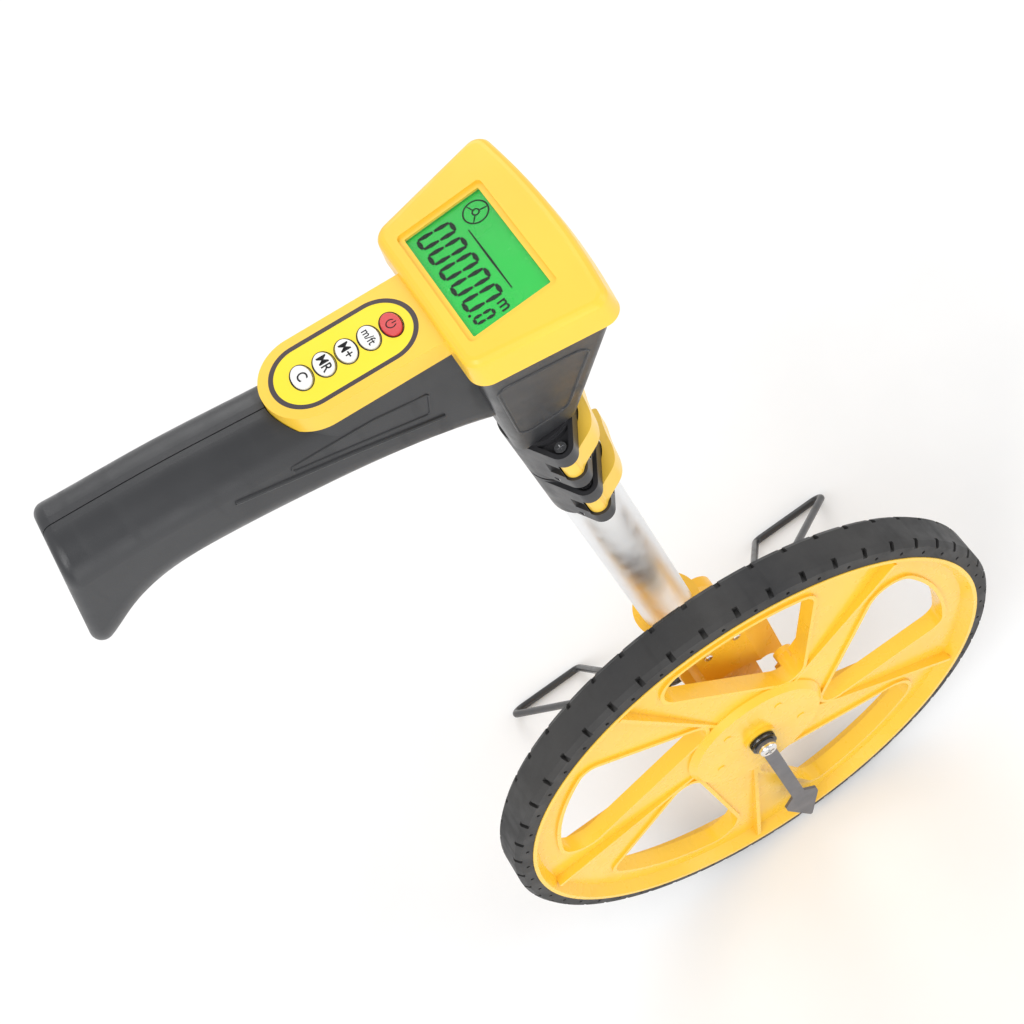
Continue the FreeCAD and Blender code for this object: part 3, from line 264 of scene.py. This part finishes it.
# %% [markdown]
# ## Helpers for added pieces
# An added piece is finished in three moves: its place is applied, so that its mesh holds where it
# is; it gets a finish; and it rides on the body that carries it.

# %% Helpers
def start():
    if bpy.context.object and bpy.context.object.mode != "OBJECT":
        bpy.ops.object.mode_set(mode="OBJECT")
    bpy.ops.object.select_all(action="DESELECT")


def settle(piece, name, finish_name, body):
    bpy.ops.object.select_all(action="DESELECT")
    piece.select_set(True)
    bpy.context.view_layer.objects.active = piece
    bpy.ops.object.transform_apply(location=True, rotation=True, scale=True)
    piece.name = name
    piece.data.materials.clear()
    piece.data.materials.append(finishes[finish_name])
    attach(piece, body)
    return piece


def join(pieces):
    bpy.ops.object.select_all(action="DESELECT")
    for piece in pieces:
        piece.select_set(True)
    bpy.context.view_layer.objects.active = pieces[0]
    bpy.ops.object.join()
    return bpy.context.object


def pick(test):
    """In edit mode: select only the vertices that pass the test."""
    mesh = bmesh.from_edit_mesh(bpy.context.object.data)
    for vertex in mesh.verts:
        vertex.select = test(vertex.co)
    mesh.select_flush_mode()
    bmesh.update_edit_mesh(bpy.context.object.data)


# %% [markdown]
# ## The display's figures
# A display draws each figure with flat bars that have pointed ends. One bar is a six-sided
# cylinder, which already has its two points, pulled out to length in edit mode. Six bars make a
# nought. The figures lean a little, as printed display glass does, and lie just on the green.

# %% The display's figures
panel_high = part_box("lcd_panel")[1]
window_low, window_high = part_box("lcd_window")
ink_height = panel_high.z + 0.00012
ink = 0.0001
reader_left = window_high.y
reader_base = window_low.x
lean = 0.12
bar_gap = 0.0003


def bar(length, width, along, across, turn):
    """A pointed bar; along runs with the reading direction, across towards the figure's top."""
    bpy.ops.mesh.primitive_cylinder_add(vertices=6, radius=width / 2, depth=ink,
                                        rotation=(0, 0, math.radians(30)))
    piece = bpy.context.object
    bpy.ops.object.transform_apply(rotation=True)
    bpy.ops.object.mode_set(mode="EDIT")
    pick(lambda co: co.y > 0.0001 * width)
    bpy.ops.transform.translate(value=(0, (length - width) / 2, 0))
    pick(lambda co: co.y < -0.0001 * width)
    bpy.ops.transform.translate(value=(0, -(length - width) / 2, 0))
    bpy.ops.object.mode_set(mode="OBJECT")
    piece.data.transform(Matrix.Rotation(turn, 4, "Z"))
    piece.data.transform(Matrix.Translation((reader_base + across, reader_left - along, ink_height)))
    return piece


def nought(middle, low, tall, wide, width):
    """Six bars round a nought whose foot stands at low and whose middle is at middle."""
    half = tall / 2
    slope = -math.atan(lean)
    upright = half - bar_gap
    bars = []
    for side in (-1, 1):
        for centre in (low + half * 0.5, low + half * 1.5):
            along = middle + side * wide / 2 + (centre - low) * lean
            bars.append(bar(upright, width, along, centre, math.radians(90) + slope))
    for centre in (low, low + tall):
        bars.append(bar(wide - bar_gap, width, middle + (centre - low) * lean, centre, 0.0))
    return bars


start()
figure_pitch = 0.0091
figure_tall = 0.0142
figures = []
for index in range(5):
    figures += nought(0.0056 + index * figure_pitch, 0.0038, figure_tall, 0.0052, 0.0020)
figures += nought(0.0500, 0.0036, 0.0078, 0.0030, 0.0015)
figures.append(bar(0.0014, 0.0014, 0.0464, 0.0032, 0.0))
figures.append(bar(0.0340, 0.0009, 0.0300, 0.0220, 0.0))
settle(join(figures), "display_figures", "segment_dark", "head")
print("display figures placed")

# %% [markdown]
# ## A plain wheel sign
# Beside the figures stands a small sign. Two thin rings and three short spokes make a plain wheel,
# which says what the object measures with. The rings are torus primitives pressed flat.

# %% A plain wheel sign
start()
sign_place = (reader_base + 0.0283, reader_left - 0.0080, ink_height)
sign_parts = []
for radius in (0.0052, 0.0014):
    bpy.ops.mesh.primitive_torus_add(major_radius=radius, minor_radius=0.00032, major_segments=48,
                                     minor_segments=6, location=sign_place)
    bpy.ops.transform.resize(value=(1, 1, 0.15), center_override=sign_place)
    sign_parts.append(bpy.context.object)
for step in range(3):
    turn = math.radians(120 * step + 20)
    spoke = bar(0.0034, 0.0006, 0.0, 0.0, 0.0)
    spoke.data.transform(Matrix.Translation((-reader_base, -reader_left, -ink_height)))
    spoke.data.transform(Matrix.Rotation(turn, 4, "Z"))
    reach = Vector((math.sin(turn), -math.cos(turn), 0)) * -0.0032
    spoke.data.transform(Matrix.Translation(Vector(sign_place) + reach))
    sign_parts.append(spoke)
settle(join(sign_parts), "display_wheel_sign", "segment_dark", "head")


# %% [markdown]
# ## Printed signs
# The keys carry short signs: a power sign, m/ft for the unit, M+ to store, MR to recall and C to
# clear. A text object is the simplest way to make a letter; it is turned into a mesh and then laid
# on the sloping keypad. Text reads towards -Y, with its top towards +X.

# %% Printed signs
def printed(text, size, name, place, tilt, body, finish_name):
    start()
    bpy.ops.object.text_add()
    writing = bpy.context.object
    writing.data.body = text
    writing.data.size = size
    writing.data.extrude = 0.00004
    writing.data.offset = size * 0.012
    writing.data.align_x = "CENTER"
    writing.data.align_y = "CENTER"
    bpy.ops.object.convert(target="MESH")
    writing = bpy.context.object
    lay = Matrix.Rotation(tilt, 4, "Y") @ Matrix.Rotation(math.radians(-90), 4, "Z")
    writing.data.transform(Matrix.Translation(place) @ lay)
    return settle(writing, name, finish_name, body)


printed("m", 0.0074, "display_unit_sign", (reader_base + 0.0163, reader_left - 0.0512, ink_height),
        0.0, "head", "segment_dark")
keypad_slope = math.radians(8.0)
keypad_normal = Vector((math.sin(keypad_slope), 0, math.cos(keypad_slope)))
keypad_along = Vector((math.cos(keypad_slope), 0, -math.sin(keypad_slope)))
sign_lift = 0.00003
key_signs = {"key_unit": "m/ft", "key_store": "M+", "key_recall": "MR", "key_clear": "C"}


def key_top(node):
    """The middle of a key's sloping top face."""
    low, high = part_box(node)
    corners = [v.co for v in nodes[node].data.vertices]
    height = max(co.dot(keypad_normal) for co in corners)
    top = [co for co in corners if co.dot(keypad_normal) > height - 0.0001]
    middle = sum(top, Vector()) / len(top)
    return Vector((middle.x, (low.y + high.y) / 2, middle.z)) + keypad_normal * sign_lift


for node, text in key_signs.items():
    size = 0.0048 if len(text) > 2 else 0.0058
    body = node.split("_")[1] + "_key"
    printed(text, size, node + "_sign", key_top(node), keypad_slope, body, "print_black")
print("signs:", list(key_signs.values()))

# %% [markdown]
# ## The power sign
# A broken ring with a stroke in the gap. It starts as a thin torus; the faces at the top of the
# ring are deleted in edit mode to open the gap.

# %% The power sign
start()
bpy.ops.mesh.primitive_torus_add(major_radius=0.0019, minor_radius=0.00026, major_segments=48,
                                 minor_segments=8)
ring = bpy.context.object
bpy.ops.object.mode_set(mode="EDIT")
pick(lambda co: co.x > 0.0012 and abs(co.y) < 0.0010)
bpy.ops.mesh.delete(type="VERT")
bpy.ops.mesh.select_all(action="SELECT")
bpy.ops.mesh.select_non_manifold(extend=False)
bpy.ops.mesh.fill_holes(sides=0)
bpy.ops.object.mode_set(mode="OBJECT")
bpy.ops.mesh.primitive_cylinder_add(vertices=8, radius=0.00026, depth=0.0019,
                                    rotation=(0, math.radians(90), 0), location=(0.0013, 0, 0))
bpy.ops.object.transform_apply(location=True, rotation=True)
power = join([ring, bpy.context.object])
power.data.transform(Matrix.Translation(key_top("key_power")) @ Matrix.Rotation(keypad_slope, 4, "Y")
                     @ Matrix.Scale(0.3, 4, (0, 0, 1)))
settle(power, "key_power_sign", "print_black", "power_key")


# %% [markdown]
# ## Lines moulded into the housing
# The black housing carries raised lines that the mould cut: a long ridge low on each side of the
# grip, a tapered frame above it, and an outlined panel on each side of the head. Drawing them
# straight onto a curved wall is hard. Instead a flat outline is drawn beside the wall and thrown
# onto it with a shrinkwrap, and the outline is then given a round section.

# %% Lines moulded into the housing
def outline_points(corners, radius, steps=6):
    """Points round a closed outline of (u, v) corners, with each corner rounded."""
    points = []
    for index, corner in enumerate(corners):
        here = Vector(corner)
        before = (Vector(corners[index - 1]) - here).normalized()
        after = (Vector(corners[(index + 1) % len(corners)]) - here).normalized()
        angle = before.angle(after) / 2
        centre = here + (before + after).normalized() * (radius / math.sin(angle))
        first = here + before * (radius / math.tan(angle)) - centre
        last = here + after * (radius / math.tan(angle)) - centre
        for step in range(steps + 1):
            share = step / steps
            toward = first.normalized().slerp(last.normalized(), share)
            points.append(centre + toward.normalized() * radius)
    return points


def even(points, gap, closed):
    """The same route with a point at least every gap."""
    route = []
    count = len(points) if closed else len(points) - 1
    for index in range(count):
        here, there = points[index], points[(index + 1) % len(points)]
        steps = max(1, math.ceil((there - here).length / gap))
        route += [here.lerp(there, step / steps) for step in range(steps)]
    if not closed:
        route.append(points[-1])
    return route


def moulded_line(name, route, closed, toward, wall, radius, body="head"):
    """A raised line: the route is thrown along an axis onto the wall, then given a round section."""
    start()
    mesh = bpy.data.meshes.new(name)
    count = len(route)
    edges = [(i, (i + 1) % count) for i in range(count if closed else count - 1)]
    mesh.from_pydata([tuple(p) for p in route], edges, [])
    line = bpy.data.objects.new(name, mesh)
    bpy.context.scene.collection.objects.link(line)
    bpy.context.view_layer.objects.active = line
    line.select_set(True)
    wrap = line.modifiers.new("throw", "SHRINKWRAP")
    wrap.target = wall
    wrap.wrap_method = "PROJECT"
    wrap.use_project_x = toward == "X"
    wrap.use_project_y = toward == "Y"
    wrap.use_negative_direction = True
    wrap.use_positive_direction = True
    wrap.offset = 0.0
    bpy.ops.object.modifier_apply(modifier="throw")
    bpy.ops.object.convert(target="CURVE")
    line = bpy.context.object
    line.data.bevel_depth = radius
    line.data.bevel_resolution = 2
    line.data.use_fill_caps = True
    bpy.ops.object.convert(target="MESH")
    return settle(bpy.context.object, name, "housing_black", body)


# %% [markdown]
# ## Outlines round the keys
# The label prints a thin dark line round each key. A circle is filled and drawn out into an oval in
# edit mode, its middle is inset and deleted, and the ring that is left gets a hair of thickness.

# %% Outlines round the keys
key_gap = 0.00032
outline_width = 0.00040
outline_thickness = 0.00006
rim_depth = 0.0005


def key_outline(node):
    """A thin oval ring that lies on the label, just clear of one key."""
    start()
    label = [v.co for v in nodes["keypad_label"].data.vertices]
    height = max(v.co.dot(keypad_normal) for v in nodes[node].data.vertices)
    rim = [v.co for v in nodes[node].data.vertices if v.co.dot(keypad_normal) > height - rim_depth]
    half_x = (max(co.dot(keypad_along) for co in rim) - min(co.dot(keypad_along) for co in rim)) / 2
    half_y = (max(co.y for co in rim) - min(co.y for co in rim)) / 2
    label_height = max(co.dot(keypad_normal) for co in label)
    bpy.ops.mesh.primitive_circle_add(vertices=64, radius=1.0, fill_type="NGON")
    outline = bpy.context.object
    bpy.ops.object.mode_set(mode="EDIT")
    bpy.ops.mesh.select_all(action="SELECT")
    reach = key_gap + outline_width
    bpy.ops.transform.resize(value=(half_x + reach, half_y + reach, 1))
    bpy.ops.mesh.inset(thickness=outline_width)
    bpy.ops.mesh.delete(type="FACE")
    bpy.ops.object.mode_set(mode="OBJECT")
    solid = outline.modifiers.new("hair", "SOLIDIFY")
    solid.thickness = outline_thickness
    solid.offset = 1.0
    bpy.ops.object.modifier_apply(modifier="hair")
    place = key_top(node)
    place += keypad_normal * (label_height - place.dot(keypad_normal))
    outline.data.transform(Matrix.Translation(place) @ Matrix.Rotation(keypad_slope, 4, "Y"))
    return outline


outlines = [key_outline(node) for node in
            ("key_power", "key_unit", "key_store", "key_recall", "key_clear")]
settle(join(outlines), "key_outlines", "print_black", "head")
print("key outlines placed")

# %% [markdown]
# ## The lines on the grip and the head
# Each route is drawn beside the wall as a few (x, z) corners and thrown onto the half it belongs to.
# The two halves mirror each other, so one loop draws both sides.

# %% The lines on the grip and the head
pole_low, pole_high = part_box("upper_tube")
pole_y = (pole_low.y + pole_high.y) / 2
axle_height = (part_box("tyre")[0].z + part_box("tyre")[1].z) / 2
walls = {"right": (nodes["right_housing"], -1), "left": (nodes["left_housing"], 1)}
for side, (wall, sign) in walls.items():
    beside = pole_y + sign * 0.075
    ridge = [Vector((x, beside, axle_height + z)) for x, z in
             ((-0.112, 0.4352), (-0.090, 0.4262), (-0.068, 0.4172), (-0.030, 0.4008))]
    moulded_line("grip_ridge_" + side, even(ridge, 0.003, False), False, "Y", wall, 0.0010)
    frame_line = outline_points([(-0.100, 0.4345), (-0.034, 0.4075), (-0.030, 0.4190),
                                 (-0.052, 0.4260)], 0.0015)
    frame_line = [Vector((p.x, beside, axle_height + p.y)) for p in frame_line]
    moulded_line("grip_frame_" + side, even(frame_line, 0.003, True), True, "Y", wall, 0.0005)
    panel = outline_points([(-0.0105, 0.3600), (0.0120, 0.3600), (0.0310, 0.4180), (-0.0085, 0.4180)],
                           0.006)
    panel = [Vector((p.x, beside, axle_height + p.y)) for p in panel]
    moulded_line("head_panel_" + side, even(panel, 0.003, True), True, "Y", wall, 0.0006)
print("moulded lines placed")

# %% [markdown]
# ## Last step
# The selection is cleared, leaving edit mode first if it is open.

# %% Last step
start()
